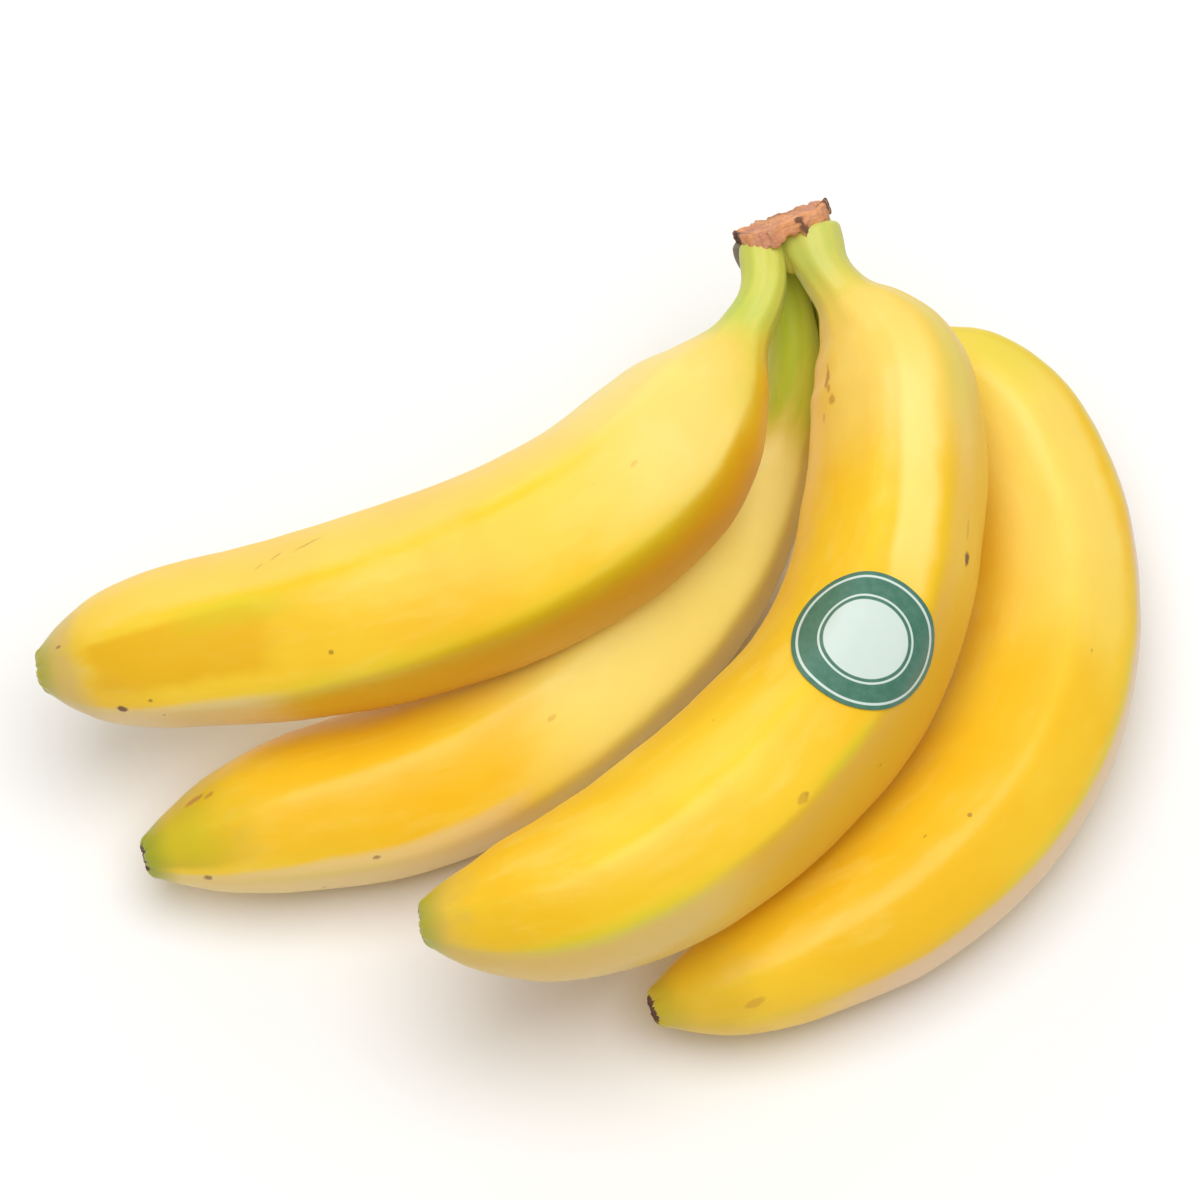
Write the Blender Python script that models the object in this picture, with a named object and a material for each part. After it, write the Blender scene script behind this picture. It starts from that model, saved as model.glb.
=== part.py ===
"""A bunch of four bananas, lying down. Metres, +Z up, origin on the table under the middle of the bunch."""

import math

import bmesh
import bpy
from mathutils import Vector

MM = 0.001

# Sizes of the bunch, in millimetres.
GAP = 0.3
STEPS_PER_FACE = 6
RINGS = 38
TIP_SCAR_RADIUS = 3.1
TIP_SCAR_DEPTH = 0.9
TIP_STUB_HEIGHT = 1.5
SOCKET_REACH = 18
TABLE_BLOCK_WIDTH = 400
TABLE_BLOCK_HEIGHT = 100

# The point of the table under the middle of the bunch, in the frame of the paths below.
CENTRE = Vector((-0.6, -8.2, 1.6))

# The four fruits. A path runs along the middle of a fruit, from the crown to its blossom tip. Girth
# pairs a share of that length with the fruit's radius there. Ridges are the directions of its five
# edges, in degrees from straight up, turning towards the outside of the bend, and swing is how far
# they have turned at the tip.
FRUITS = {
    "banana_upper_left": {
        "path": (
            (32.3, 59.5, 67), (32.5, 51.2, 64.6), (28.3, 42.4, 61.1), (19.4, 25.2, 56.7), (6.5, 10.2, 54.5),
            (-11.5, -2.8, 53.5), (-33, -11.5, 51.5), (-58, -16.7, 47.5), (-82, -17.9, 42),
            (-109, -18.9, 35.6),
        ),
        "girth": (
            (0, 3.8), (0.012, 4.8), (0.05, 4.8), (0.10, 5.8), (0.15, 9.6), (0.21, 15.5), (0.28, 18.9),
            (0.38, 20.2), (0.50, 20.7), (0.62, 20.4), (0.74, 19.0), (0.86, 16.6), (0.93, 13.0), (0.975, 8.2),
            (1, 5.0),
        ),
        "ridges": (-27, 38, 114, 190, 264),
        "swing": 43,
        "colour": (0.93, 0.60, 0.06),
    },
    "banana_lower_left": {
        "path": (
            (34.8, 64, 56.5), (38.8, 54.5, 47), (38.8, 43.8, 35.5), (35.4, 36, 27.5), (28.6, 24.4, 21.8),
            (18, 9.2, 19.4), (1.6, -9.2, 18.6), (-19, -26, 18.3), (-39.3, -37, 18.6), (-61, -43.2, 19),
            (-88.4, -51, 17.6),
        ),
        "girth": (
            (0, 3.6), (0.012, 4.6), (0.06, 4.9), (0.10, 5.6), (0.15, 6.5), (0.20, 8.8), (0.27, 13.3),
            (0.36, 17.0), (0.48, 19.0), (0.62, 19.5), (0.74, 18.9), (0.85, 16.1), (0.93, 11.2),
            (0.975, 6.8), (1, 4.4),
        ),
        "ridges": (-20, 44, 118, 192, 268),
        "swing": 38,
        "colour": (0.90, 0.56, 0.05),
    },
    "banana_upper_front": {
        "path": (
            (42.6, 62.6, 68), (44.6, 56.3, 65.4), (48.9, 50.2, 63), (53.8, 43.8, 60.2), (57.9, 35.5, 56.6),
            (59.4, 22.5, 52), (58.2, 9, 48.8), (55.2, -7.5, 47), (47.7, -26.5, 46.5), (35.7, -43.3, 47),
            (19, -60, 47), (0, -71.8, 45.8), (-18, -76.5, 43.4), (-32.6, -76.8, 40.4),
        ),
        "girth": (
            (0, 4.4), (0.012, 5.8), (0.04, 5.5), (0.067, 6.0), (0.095, 9.6), (0.13, 14.4), (0.18, 17.6),
            (0.26, 18.8), (0.36, 19.4), (0.48, 20.0), (0.60, 20.4), (0.72, 20.0), (0.82, 18.2), (0.90, 15.0),
            (0.955, 10.4), (0.985, 7.2), (1, 5.2),
        ),
        "ridges": (-26, 18, 94, 170, 250),
        "swing": 46,
        "colour": (0.92, 0.58, 0.05),
    },
    "banana_lower_right": {
        "path": (
            (44.5, 63.5, 57), (47.2, 60.6, 50), (49.2, 57.4, 41.5), (55, 54.8, 34.6), (66.5, 52, 30.4),
            (79.4, 45.6, 26.8), (88.8, 29.6, 21), (91.8, 9, 18.9), (89.8, -11, 19.2), (84.2, -28, 19.3),
            (73.6, -44.2, 18.8), (59.5, -57.9, 18.1), (43.3, -68.6, 17.8), (27.2, -77.4, 17.2),
            (11.4, -83.3, 16.4),
        ),
        "girth": (
            (0, 3.6), (0.012, 4.6), (0.05, 4.8), (0.10, 6.4), (0.15, 10.4), (0.21, 15.6), (0.28, 18.4),
            (0.36, 19.7), (0.50, 20.0), (0.64, 19.8), (0.76, 18.8), (0.87, 15.5), (0.94, 11.0), (0.98, 6.8),
            (1, 4.2),
        ),
        "ridges": (-12, 33, 108, 184, 264),
        "swing": 42,
        "colour": (0.91, 0.57, 0.05),
    },
}

# How flat the sides are between two ridges, along a fruit: 0 is round, 1 is a true pentagon.
FLATNESS = ((0, 0.25), (0.12, 0.3), (0.24, 0.5), (0.5, 0.5), (0.8, 0.42), (1, 0.1))

# The crown: the cushion that the four stalks grow from, cut across its top.
CROWN_CENTRE = Vector((37.0, 64.0, 62.9))
CROWN_HALF_SIZE = Vector((10.9, 10.8, 4.6))
CROWN_CUTS = 7
CROWN_CORNER_ROUNDING = 0.32
CROWN_RIM_RISE = 0.10
CROWN_FIBRE_RISE = 0.09
CROWN_SKIRT_WAVE = 0.28
CROWN_AXIS_ALONG = Vector((0.91, 0.35, 0.21))
CROWN_AXIS_UP = Vector((-0.34, 0.66, 0.66))

# The round label on the upper front fruit.
LABEL_CENTRE_SHARE = 0.50
LABEL_DIRECTION = 12
LABEL_HALF_LENGTH = 14.4
LABEL_HALF_WIDTH = 14.8
LABEL_LIFT = 0.8
LABEL_THICKNESS = 0.4
LABEL_RINGS = 6
LABEL_SPOKES = 32


def start_scene():
    for item in list(bpy.data.objects):
        bpy.data.objects.remove(item)


def new_collection(name):
    collection = bpy.data.collections.new(name)
    bpy.context.scene.collection.children.link(collection)
    return collection


def material(name, colour, roughness):
    made = bpy.data.materials.new(name)
    made.use_nodes = True
    shader = made.node_tree.nodes["Principled BSDF"]
    shader.inputs["Base Color"].default_value = (*colour, 1)
    shader.inputs["Roughness"].default_value = roughness
    shader.inputs["Metallic"].default_value = 0
    return made


def read_along(stations, share):
    """The value at this share of the length, on a smooth curve through the stations that never overshoots."""
    places = [place for place, _ in stations]
    values = [value for _, value in stations]
    slopes = [(b - a) / (q - p) for a, b, p, q in zip(values, values[1:], places, places[1:])]
    tangents = [slopes[0]]
    for before, after in zip(slopes, slopes[1:]):
        rising = before * after > 0
        tangents.append(2 * before * after / (before + after) if rising else 0)
    tangents.append(slopes[-1])
    share = min(max(share, places[0]), places[-1])
    index = max(i for i, place in enumerate(places[:-1]) if place <= share)
    width = places[index + 1] - places[index]
    t = (share - places[index]) / width
    return (
        values[index] * (1 + 2 * t) * (1 - t) ** 2
        + values[index + 1] * t * t * (3 - 2 * t)
        + width * tangents[index] * t * (1 - t) ** 2
        - width * tangents[index + 1] * t * t * (1 - t)
    )


def new_guide(name, fruit, guides):
    """A smooth curve through the path. What is bent along it keeps its +Y up and its +X outwards."""
    curve = bpy.data.curves.new(name, "CURVE")
    curve.dimensions = "3D"
    curve.twist_mode = "Z_UP"
    curve.resolution_u = 12
    curve.use_deform_bounds = False
    spline = curve.splines.new("BEZIER")
    spline.bezier_points.add(len(fruit["path"]) - 1)
    for point, place in zip(spline.bezier_points, fruit["path"]):
        point.co = (Vector(place) - CENTRE) * MM
        point.handle_left_type = "AUTO"
        point.handle_right_type = "AUTO"
    guide = bpy.data.objects.new(name, curve)
    guide.hide_render = True
    guide.display_type = "WIRE"
    guides.objects.link(guide)
    bpy.context.view_layer.update()
    return guide, spline.calc_length() / MM


def side_share(direction, ridges, flatness):
    """The distance to the skin in one direction, as a share of the distance to a ridge."""
    turned = (direction - ridges[0]) % 360
    edges = [ridge - ridges[0] for ridge in ridges] + [360]
    index = max(i for i, edge in enumerate(edges[:-1]) if edge <= turned)
    half = math.radians(edges[index + 1] - edges[index]) / 2
    from_middle = math.radians(turned - edges[index]) - half
    return 1 - flatness * (1 - math.cos(half) / math.cos(from_middle))


def skin_point(fruit, length, share, direction, outwards=0.0):
    """A point of the straight fruit's skin, in metres: its length runs along +Z from the crown end."""
    ridges = [ridge + fruit["swing"] * share for ridge in fruit["ridges"]]
    reach = read_along(fruit["girth"], share) * side_share(direction, ridges, read_along(FLATNESS, share))
    turn = math.radians(direction)
    reach += outwards
    return Vector((math.sin(turn) * reach, math.cos(turn) * reach, share * length)) * MM


def ring_directions(fruit, share):
    """Directions round one ring, with the same number of steps on each side and a point on every ridge."""
    ridges = [ridge + fruit["swing"] * share for ridge in fruit["ridges"]]
    directions = []
    for ridge, following in zip(ridges, ridges[1:] + [ridges[0] + 360]):
        directions += [ridge + (following - ridge) * step / STEPS_PER_FACE for step in range(STEPS_PER_FACE)]
    return directions


def next_ring(shape, edges, points):
    """Extrudes a ring of edges and puts its new points, in order, where they belong."""
    made = bmesh.ops.extrude_edge_only(shape, edges=edges)["geom"]
    new_edges = [item for item in made if isinstance(item, bmesh.types.BMEdge)]
    new_points = [item for item in made if isinstance(item, bmesh.types.BMVert)]
    for point, place in zip(new_points, points):
        point.co = place
    return new_edges


def tube_mesh(name, rings, end_height):
    """A closed tube through rings of points, with a low cone at its far end."""
    shape = bmesh.new()
    first = bmesh.ops.create_circle(shape, cap_ends=True, radius=MM, segments=len(rings[0]))["verts"]
    for point, place in zip(first, rings[0]):
        point.co = place
    edges = list(shape.edges)
    for ring in rings[1:]:
        edges = next_ring(shape, edges, ring)
    filled = bmesh.ops.contextual_create(shape, geom=edges)["faces"]
    middle = bmesh.ops.poke(shape, faces=filled)["verts"][0]
    middle.co.z += end_height
    bmesh.ops.recalc_face_normals(shape, faces=shape.faces)
    mesh = bpy.data.meshes.new(name)
    shape.to_mesh(mesh)
    shape.free()
    mesh.shade_smooth()
    return mesh


def bent(name, mesh, guide, collection):
    """The straight mesh as an object, bent along its guide."""
    made = bpy.data.objects.new(name, mesh)
    collection.objects.link(made)
    bend = made.modifiers.new("Bend", "CURVE")
    bend.object = guide
    bend.deform_axis = "POS_Z"
    return made


def ring_shares():
    """Where the rings of a fruit lie along it: closer together towards both ends."""
    return [(1 - math.cos(math.pi * index / RINGS)) / 2 for index in range(RINGS + 1)]


def add_fruit(name, fruit, guide, length, collection):
    """One fruit with its stalk. The blossom end has a sunken scar with a stub in it."""
    rings = []
    for share in ring_shares():
        rings.append([skin_point(fruit, length, share, at) for at in ring_directions(fruit, share)])
    tip_radius = fruit["girth"][-1][1]
    tip_ring = rings[-1]
    tip_steps = (
        (tip_radius - 0.5, 0.5),
        (TIP_SCAR_RADIUS, 0.4),
        (TIP_SCAR_RADIUS - 0.6, -TIP_SCAR_DEPTH),
    )
    for radius, height in tip_steps:
        scale = radius / tip_radius
        rings.append([Vector((at.x * scale, at.y * scale, at.z + height * MM)) for at in tip_ring])
    made = bent(name, tube_mesh(name, rings, TIP_STUB_HEIGHT * MM), guide, collection)
    made.data.materials.append(material(name + "_skin", fruit["colour"], 0.42))
    return made


def add_socket_cutter(name, fruit, guide, length, cutters):
    """The top of a stalk with the gap round it, which its socket in the crown is cut with."""
    first = [skin_point(fruit, length, 0, at, GAP) for at in ring_directions(fruit, 0)]
    rings = [[Vector((at.x, at.y, -GAP * MM)) for at in first]]
    for share in ring_shares():
        if share * length < SOCKET_REACH:
            rings.append([skin_point(fruit, length, share, at, GAP) for at in ring_directions(fruit, share)])
    cutter = bent(name, tube_mesh(name, rings, 0), guide, cutters)
    cutter.hide_render = True
    cutter.display_type = "WIRE"
    return cutter


def cut(target, cutter, name):
    difference = target.modifiers.new(name, "BOOLEAN")
    difference.operation = "DIFFERENCE"
    difference.solver = "EXACT"
    difference.object = cutter


def add_table_cutter(cutters):
    """A block below the table. It gives the lower fruits the small flats that they rest on."""
    bpy.ops.mesh.primitive_cube_add(size=1, location=(0, 0, -TABLE_BLOCK_HEIGHT * MM / 2))
    block = bpy.context.object
    block.name = "below_table"
    block.scale = Vector((TABLE_BLOCK_WIDTH, TABLE_BLOCK_WIDTH, TABLE_BLOCK_HEIGHT)) * MM
    bpy.ops.object.transform_apply(location=False, rotation=False, scale=True)
    for collection in list(block.users_collection):
        collection.objects.unlink(block)
    cutters.objects.link(block)
    block.hide_render = True
    block.display_type = "WIRE"
    return block


def crown_shape(x, y, z):
    """Moves a point of a cube of half size one to the cushion's form, with z up towards the cut."""
    rounded = math.sqrt(1 - CROWN_CORNER_ROUNDING * (x * x + y * y)) + 0.05
    waisted = 1 - 0.1 * z * z
    x *= rounded * waisted
    y *= rounded * waisted
    if z > 0:
        broad = math.sin(4.1 * x + 1.3) * math.cos(3.3 * y + 0.4)
        fine = math.sin(9 * x + 5 * y) / 2
        fibres = CROWN_FIBRE_RISE * (broad + fine)
        z *= 0.86 + CROWN_RIM_RISE * max(abs(x), abs(y)) + fibres
    else:
        z *= 1 + CROWN_SKIRT_WAVE * math.sin(5 * x + 0.6)
    x *= 1 + 0.03 * math.sin(6 * y + 2 * z)
    y *= 1 + 0.05 * math.sin(5 * x + 1)
    return x * CROWN_HALF_SIZE.x, y * CROWN_HALF_SIZE.y, z * CROWN_HALF_SIZE.z


def add_crown(collection):
    """The cushion: a block rounded all over, with a rough dished cut on top and a wavy skirt below."""
    along = CROWN_AXIS_ALONG.normalized()
    up = (CROWN_AXIS_UP - CROWN_AXIS_UP.project(along)).normalized()
    across = up.cross(along)
    shape = bmesh.new()
    bmesh.ops.create_cube(shape, size=2)
    bmesh.ops.subdivide_edges(shape, edges=shape.edges, cuts=CROWN_CUTS, use_grid_fill=True)
    for point in shape.verts:
        x, y, z = crown_shape(*point.co)
        point.co = (CROWN_CENTRE - CENTRE + along * x + across * y + up * z) * MM
    bmesh.ops.recalc_face_normals(shape, faces=shape.faces)
    mesh = bpy.data.meshes.new("crown")
    shape.to_mesh(mesh)
    shape.free()
    mesh.shade_smooth()
    made = bpy.data.objects.new("crown", mesh)
    collection.objects.link(made)
    made.data.materials.append(material("crown_cut_fibre", (0.42, 0.19, 0.09), 0.85))
    return made


def add_label(fruit, guide, length, collection):
    """The round label, laid on the straight fruit's side and then bent with it."""
    skin_radius = read_along(fruit["girth"], LABEL_CENTRE_SHARE)
    sizes = [(step + 1) / LABEL_RINGS for step in range(LABEL_RINGS)]
    underside = [(size, LABEL_LIFT) for size in sizes]
    top = [(size, LABEL_LIFT + LABEL_THICKNESS) for size in reversed(sizes)]
    rings = []
    for size, height in underside + top:
        ring = []
        for spoke in range(LABEL_SPOKES):
            turn = math.tau * spoke / LABEL_SPOKES
            share = LABEL_CENTRE_SHARE + size * math.sin(turn) * LABEL_HALF_LENGTH / length
            direction = LABEL_DIRECTION + math.degrees(size * math.cos(turn) * LABEL_HALF_WIDTH / skin_radius)
            ring.append(skin_point(fruit, length, share, direction, height))
        rings.append(ring)
    made = bent("label", tube_mesh("label", rings, 0), guide, collection)
    made.data.set_sharp_from_angle(angle=math.radians(50))
    made.data.materials.append(material("label_film", (0.05, 0.23, 0.15), 0.35))
    return made


def build():
    start_scene()
    bunch = new_collection("banana_bunch")
    cutters = new_collection("cutters_and_guides")
    cutters.hide_render = True
    crown = add_crown(bunch)
    table = add_table_cutter(cutters)
    for name, fruit in FRUITS.items():
        guide, length = new_guide(name + "_guide", fruit, cutters)
        made = add_fruit(name, fruit, guide, length, bunch)
        if name.startswith("banana_lower"):
            cut(made, table, "Rest flat")
        cut(crown, add_socket_cutter(name + "_socket", fruit, guide, length, cutters), name + "_socket")
        if name == "banana_upper_front":
            add_label(fruit, guide, length, bunch)


build()
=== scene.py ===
# A bunch of ripe bananas lying on a pale table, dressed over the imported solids.
import math
import bpy
import numpy as np
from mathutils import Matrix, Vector


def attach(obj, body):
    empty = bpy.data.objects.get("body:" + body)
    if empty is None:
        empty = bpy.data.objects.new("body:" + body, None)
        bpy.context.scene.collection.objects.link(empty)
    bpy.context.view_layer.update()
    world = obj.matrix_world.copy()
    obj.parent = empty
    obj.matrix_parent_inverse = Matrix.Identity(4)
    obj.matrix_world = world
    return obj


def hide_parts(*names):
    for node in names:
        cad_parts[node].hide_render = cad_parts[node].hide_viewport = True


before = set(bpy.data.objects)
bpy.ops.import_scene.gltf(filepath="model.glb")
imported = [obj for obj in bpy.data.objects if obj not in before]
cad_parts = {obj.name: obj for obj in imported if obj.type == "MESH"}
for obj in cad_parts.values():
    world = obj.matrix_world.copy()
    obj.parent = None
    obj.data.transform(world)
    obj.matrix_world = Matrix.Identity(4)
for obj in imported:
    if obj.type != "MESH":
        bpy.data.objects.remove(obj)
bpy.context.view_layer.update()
print("frame loaded")

mm = 0.001
tablePoint = Vector((-0.6, -8.2, 1.6))  # the table under the bunch's middle, in the millimetres of the paths

# One dictionary for each fruit. A path runs along its middle from the crown to the blossom tip, in millimetres.
# Girth pairs a share of that length with the radius. Ridges are directions in degrees from straight up,
# turning towards the outside of the bend, and swing is how far they have turned at the tip. A flare widens the
# stalk where it leaves the crown: the share where it ends, its direction, its width in degrees and its rise.
# Colour and light zones: from and to in degrees off the outer ridge, from and to along the fruit, softness,
# strength and colour. Some zones are the fruit's own colour; the others are painted light: painted highlights
# on the upper sides, painted shade on facets turned from the light, and tan painted light bounced up from the
# table on low facets. Green patches lie along a ridge: share along, degrees off the outer ridge, half length,
# half width in
# degrees and strength. Spots and scuffs: share along, degrees off the outer ridge, size in millimetres, stretch
# along the fruit, strength and slant in degrees.
bananaUpperLeft = {
    "path": (
        (32.3, 59.5, 67), (32.5, 51.2, 64.6), (28.3, 42.4, 61.1), (18.6, 26.2, 56.9), (6.3, 11, 54.5),
        (-11.5, -2.0, 53.5), (-33, -11.2, 51.5), (-58, -16.7, 47.5), (-82, -17.9, 42), (-109, -18.9, 35.6),
    ),
    "girth": (
        (0, 4.7), (0.012, 4.8), (0.05, 4.8), (0.1, 5.8), (0.15, 11), (0.21, 17.2), (0.28, 20), (0.38, 20.8),
        (0.5, 20.9), (0.62, 20.4), (0.74, 19), (0.86, 16.7), (0.93, 13.4), (0.975, 8.9), (1, 5.1),
    ),
    "ridges": (-27, 38, 114, 190, 264),
    "swing": 43,
    "flares": (),
    "seed": 3,
    "driedRadius": 1.9,
    "tipGreenness": 0.75,
    "stalkEnds": 0.115,
    "stalkColour": (0.52, 0.60, 0.085),
    "colourAndLightZones": (
        # paler shoulder: partly the fruit's own paler colour near the neck, partly a painted highlight
        (-150, 10, 0.11, 0.35, 0.09, 0.60, (0.94, 0.77, 0.26)),
        # painted reflection: the upper side is paled as if the white surroundings shine on it
        (-150, -66, 0.30, 0.94, 0.06, 0.30, (0.95, 0.69, 0.17)),
        (-63, -12, 0.73, 0.935, 0.02, 0.75, (0.82, 0.44, 0.004)),
        # painted shade: the low facet turned away from the light is darkened
        (-2, 76, 0.20, 0.76, 0.04, 0.8, (0.74, 0.39, 0.001)),
        # painted light: the low facet near the tip is paled to tan as if lit from the table below
        (-5, 80, 0.74, 0.99, 0.03, 0.85, (0.80, 0.58, 0.27)),
        (-180, 180, 0.952, 0.995, 0.022, 0.7, (0.66, 0.46, 0.14)),
    ),
    "greenPatches": (
        (0.66, -1, 0.15, 14, 0.35), (0.76, -60, 0.09, 16, 0.45), (0.16, 0, 0.09, 40, 0.35),
        (0.42, 5, 0.24, 17, 0.4),
    ),
    "spots": (
        (0.906, -4, 1.7, 1.3, 0.95, 0),
        (0.871, -10, 0.8, 1.5, 0.6, 0),
        (0.862, 4, 0.6, 1.2, 0.5, 0),
        (0.970, -73, 0.7, 2.0, 0.6, 0),
    ),
    "scuffs": (
        (0.682, -100, 0.6, 12.0, 0.65, 25),
        (0.716, -97, 0.6, 6.0, 0.6, 45),
        (0.735, -90, 0.5, 5.0, 0.5, 45),
        (0.33, -40, 1.2, 2.0, 0.3, 0),
    ),
}
bananaLowerLeft = {
    "path": (
        (34.8, 64, 56.5), (38.8, 54.5, 47), (38.8, 43.8, 35.5), (35.4, 36, 27.5), (28.6, 24.4, 21.8),
        (18, 9.2, 19.4), (1.6, -9.2, 18.6), (-19, -26, 18.3), (-39.3, -37, 18.6), (-61, -43.2, 19),
        (-88.4, -51, 17.6),
    ),
    "girth": (
        (0, 4.5), (0.012, 4.6), (0.06, 5.2), (0.1, 6), (0.15, 6.8), (0.2, 8.8), (0.27, 13.3), (0.36, 17),
        (0.48, 19), (0.62, 19.5), (0.74, 18.9), (0.85, 16.5), (0.93, 12.1), (0.975, 7.7), (1, 4.6),
    ),
    "ridges": (-20, 44, 118, 192, 268),
    "swing": 38,
    "flares": (),
    "seed": 11,
    "driedRadius": 2.9,
    "tipGreenness": 0.95,
    "stalkEnds": 0.165,
    "stalkColour": (0.50, 0.60, 0.045),
    "colourAndLightZones": (
        # painted light: these two zones lighten the neck and middle, which lie in the shade of the upper fruits
        (-150, 80, 0.16, 0.36, 0.08, 0.9, (1.0, 0.88, 0.32)),
        (-150, 60, 0.28, 0.60, 0.10, 0.85, (1.0, 0.86, 0.24)),
        (-62, -16, 0.62, 0.93, 0.06, 0.45, (0.94, 0.52, 0.012)),
        # painted light: the low facet is paled to tan as if lit from the table below
        (-13, 78, 0.66, 0.99, 0.04, 0.85, (0.82, 0.59, 0.23)),
        (-180, -16, 0.925, 0.99, 0.04, 0.65, (0.50, 0.36, 0.002)),
    ),
    "greenPatches": ((0.965, -60, 0.05, 60, 0.4),),
    "spots": (
        (0.952, -8, 1.3, 1.4, 0.7, 0),
        (0.843, 25, 0.9, 1.4, 0.6, 0),
        (0.791, -7, 1.1, 1.3, 0.6, 0),
    ),
    "scuffs": (
        (0.945, -104, 1.6, 3.0, 0.85, 0),
        (0.93, -98, 1.2, 2.0, 0.7, 20),
        (0.60, -40, 1.2, 2.0, 0.3, 0),
    ),
}
bananaUpperFront = {
    "path": (
        (42.6, 62.6, 68), (44.6, 56.3, 65.4), (48.9, 50.2, 63), (53.8, 43.8, 60.2), (57.9, 35.5, 56.6),
        (59.4, 22.5, 52), (58.2, 9, 48.8), (55.2, -7.5, 47), (47.7, -26.5, 46.5), (35.7, -43.3, 47),
        (19, -60, 47), (0, -71.8, 45.8), (-18, -76.5, 43.4), (-32.6, -76.8, 40.4),
    ),
    "girth": (
        (0, 5.8), (0.012, 5.8), (0.04, 5.5), (0.067, 6), (0.095, 9.6), (0.13, 14.4), (0.18, 17.6),
        (0.26, 18.8), (0.36, 19.4), (0.48, 20), (0.6, 20.4), (0.72, 20), (0.82, 18.2), (0.9, 15),
        (0.955, 10.4), (0.985, 7.2), (1, 5.2),
    ),
    "ridges": (-26, 18, 94, 170, 250),
    "swing": 46,
    "flares": ((0.045, -85, 60, 1.8),),
    "seed": 23,
    "driedRadius": 2.5,
    "tipGreenness": 0.8,
    "stalkEnds": 0.068,
    "stalkColour": (0.56, 0.60, 0.11),
    "colourAndLightZones": (
        # paler shoulder: partly the fruit's own peachy colour near the neck, partly a painted highlight
        (-120, 30, 0.05, 0.26, 0.07, 0.5, (0.94, 0.70, 0.22)),
        # painted highlight: a pale strip down the top facet
        (-32, 0, 0.16, 0.46, 0.07, 0.65, (0.96, 0.78, 0.22)),
        (-42, -2, 0.45, 0.62, 0.08, 0.3, (0.94, 0.54, 0.018)),
        (-42, -4, 0.72, 0.94, 0.06, 0.5, (0.86, 0.52, 0.004)),
        # painted shade: the outer facet turned away from the light is darkened
        (-2, 80, 0.42, 0.74, 0.06, 0.8, (0.76, 0.40, 0.002)),
        # painted light: the low facet near the tip is paled to tan as if lit from the table below
        (-2, 80, 0.74, 0.99, 0.05, 0.8, (0.75, 0.51, 0.14)),
        (-180, 180, 0.960, 0.99, 0.015, 0.6, (0.68, 0.46, 0.08)),
    ),
    "greenPatches": ((0.84, -1, 0.13, 12, 0.5), (0.60, 0, 0.05, 8, 0.4), (0.16, 22, 0.10, 34, 0.45)),
    "spots": (
        (0.362, 29, 2.6, 1.1, 1.0, 0),
        (0.651, -4, 0.9, 1.0, 0.3, 0),
    ),
    "scuffs": (
        (0.147, -96, 1.9, 3.8, 0.8, 0),
        (0.186, -88, 2.6, 1.3, 0.6, 0),
        (0.166, -92, 1.4, 2.6, 0.6, 10),
        (0.335, 26, 1.2, 4.0, 0.4, 0),
        (0.21, -99, 1.2, 3.0, 0.4, 0),
        (0.655, -4, 2.2, 1.2, 0.5, 0),
    ),
}
bananaLowerRight = {
    "path": (
        (44.5, 63.5, 57), (47.2, 60.6, 50), (49.2, 57.4, 41.5), (55, 54.8, 34.6), (66.5, 52, 30.4),
        (79.4, 45.6, 26.8), (88.8, 29.6, 21), (91.8, 9, 18.9), (89.8, -11, 19.2), (84.2, -28, 19.3),
        (73.6, -44.2, 18.8), (59.5, -57.9, 18.1), (43.3, -68.6, 17.8), (27.2, -77.4, 17.2),
        (11.4, -83.3, 16.4),
    ),
    "girth": (
        (0, 4.5), (0.012, 4.8), (0.05, 5.2), (0.1, 6.6), (0.15, 10.4), (0.21, 15.6), (0.28, 18.4),
        (0.36, 19.7), (0.5, 20), (0.64, 19.8), (0.76, 18.8), (0.87, 15.5), (0.94, 11), (0.98, 6.8), (1, 4.2),
    ),
    "ridges": (-12, 33, 108, 184, 264),
    "swing": 42,
    "flares": (),
    "seed": 37,
    "driedRadius": 2.9,
    "tipGreenness": 0.5,
    "stalkEnds": 0.13,
    "stalkColour": (0.52, 0.56, 0.08),
    "colourAndLightZones": (
        # painted highlight: the upper side of the fruit is paled
        (-110, -4, 0.16, 0.5, 0.08, 0.5, (0.97, 0.79, 0.22)),
        (-45, -2, 0.62, 0.93, 0.07, 0.3, (0.94, 0.53, 0.014)),
        # painted light: the outer low facet is paled to pinkish tan as if lit from the table below
        (2, 78, 0.28, 0.86, 0.05, 0.85, (0.80, 0.55, 0.33)),
        (-180, 180, 0.93, 1.0, 0.02, 0.5, (0.66, 0.40, 0.02)),
    ),
    "greenPatches": ((0.20, -20, 0.08, 60, 0.45), (0.27, 6, 0.12, 16, 0.4), (0.60, 0, 0.20, 6, 0.35)),
    "spots": (
        (0.52, -30, 0.5, 1.5, 0.4, 0),
        (0.74, -62, 0.6, 2.0, 0.4, 0),
    ),
    "scuffs": (
        (0.33, 40, 1.2, 4.0, 0.4, 0),
        (0.93, -20, 2.0, 2.0, 0.4, 15),
    ),
}
peelShape = {
    "sides": 120,
    "rings": 130,
    "flatness": ((0, 0.25), (0.12, 0.3), (0.24, 0.55), (0.5, 0.6), (0.8, 0.5), (0.93, 0.22), (1, 0.08)),
    "ridgeSoftness": 7.5,       # degrees either side of a ridge that the peel rounds it over
    "stalkGrooves": 9,
    "grooveDepth": 0.010,       # share of the stalk's radius
    "groovesEnd": (0.07, 0.17),  # shares along the fruit between which the grooves fade
    # size and depth in millimetres, and what is added to the fruit's seed
    "dents": ((22, 0.5, 0), (3.2, 0.12, 5)),
    "tableGap": 0.02,           # how far above the table the low side is pressed flat, in millimetres
}


def deselectAll():
    if bpy.context.mode != "OBJECT":
        bpy.ops.object.mode_set(mode="OBJECT")
    bpy.ops.object.select_all(action="DESELECT")


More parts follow.
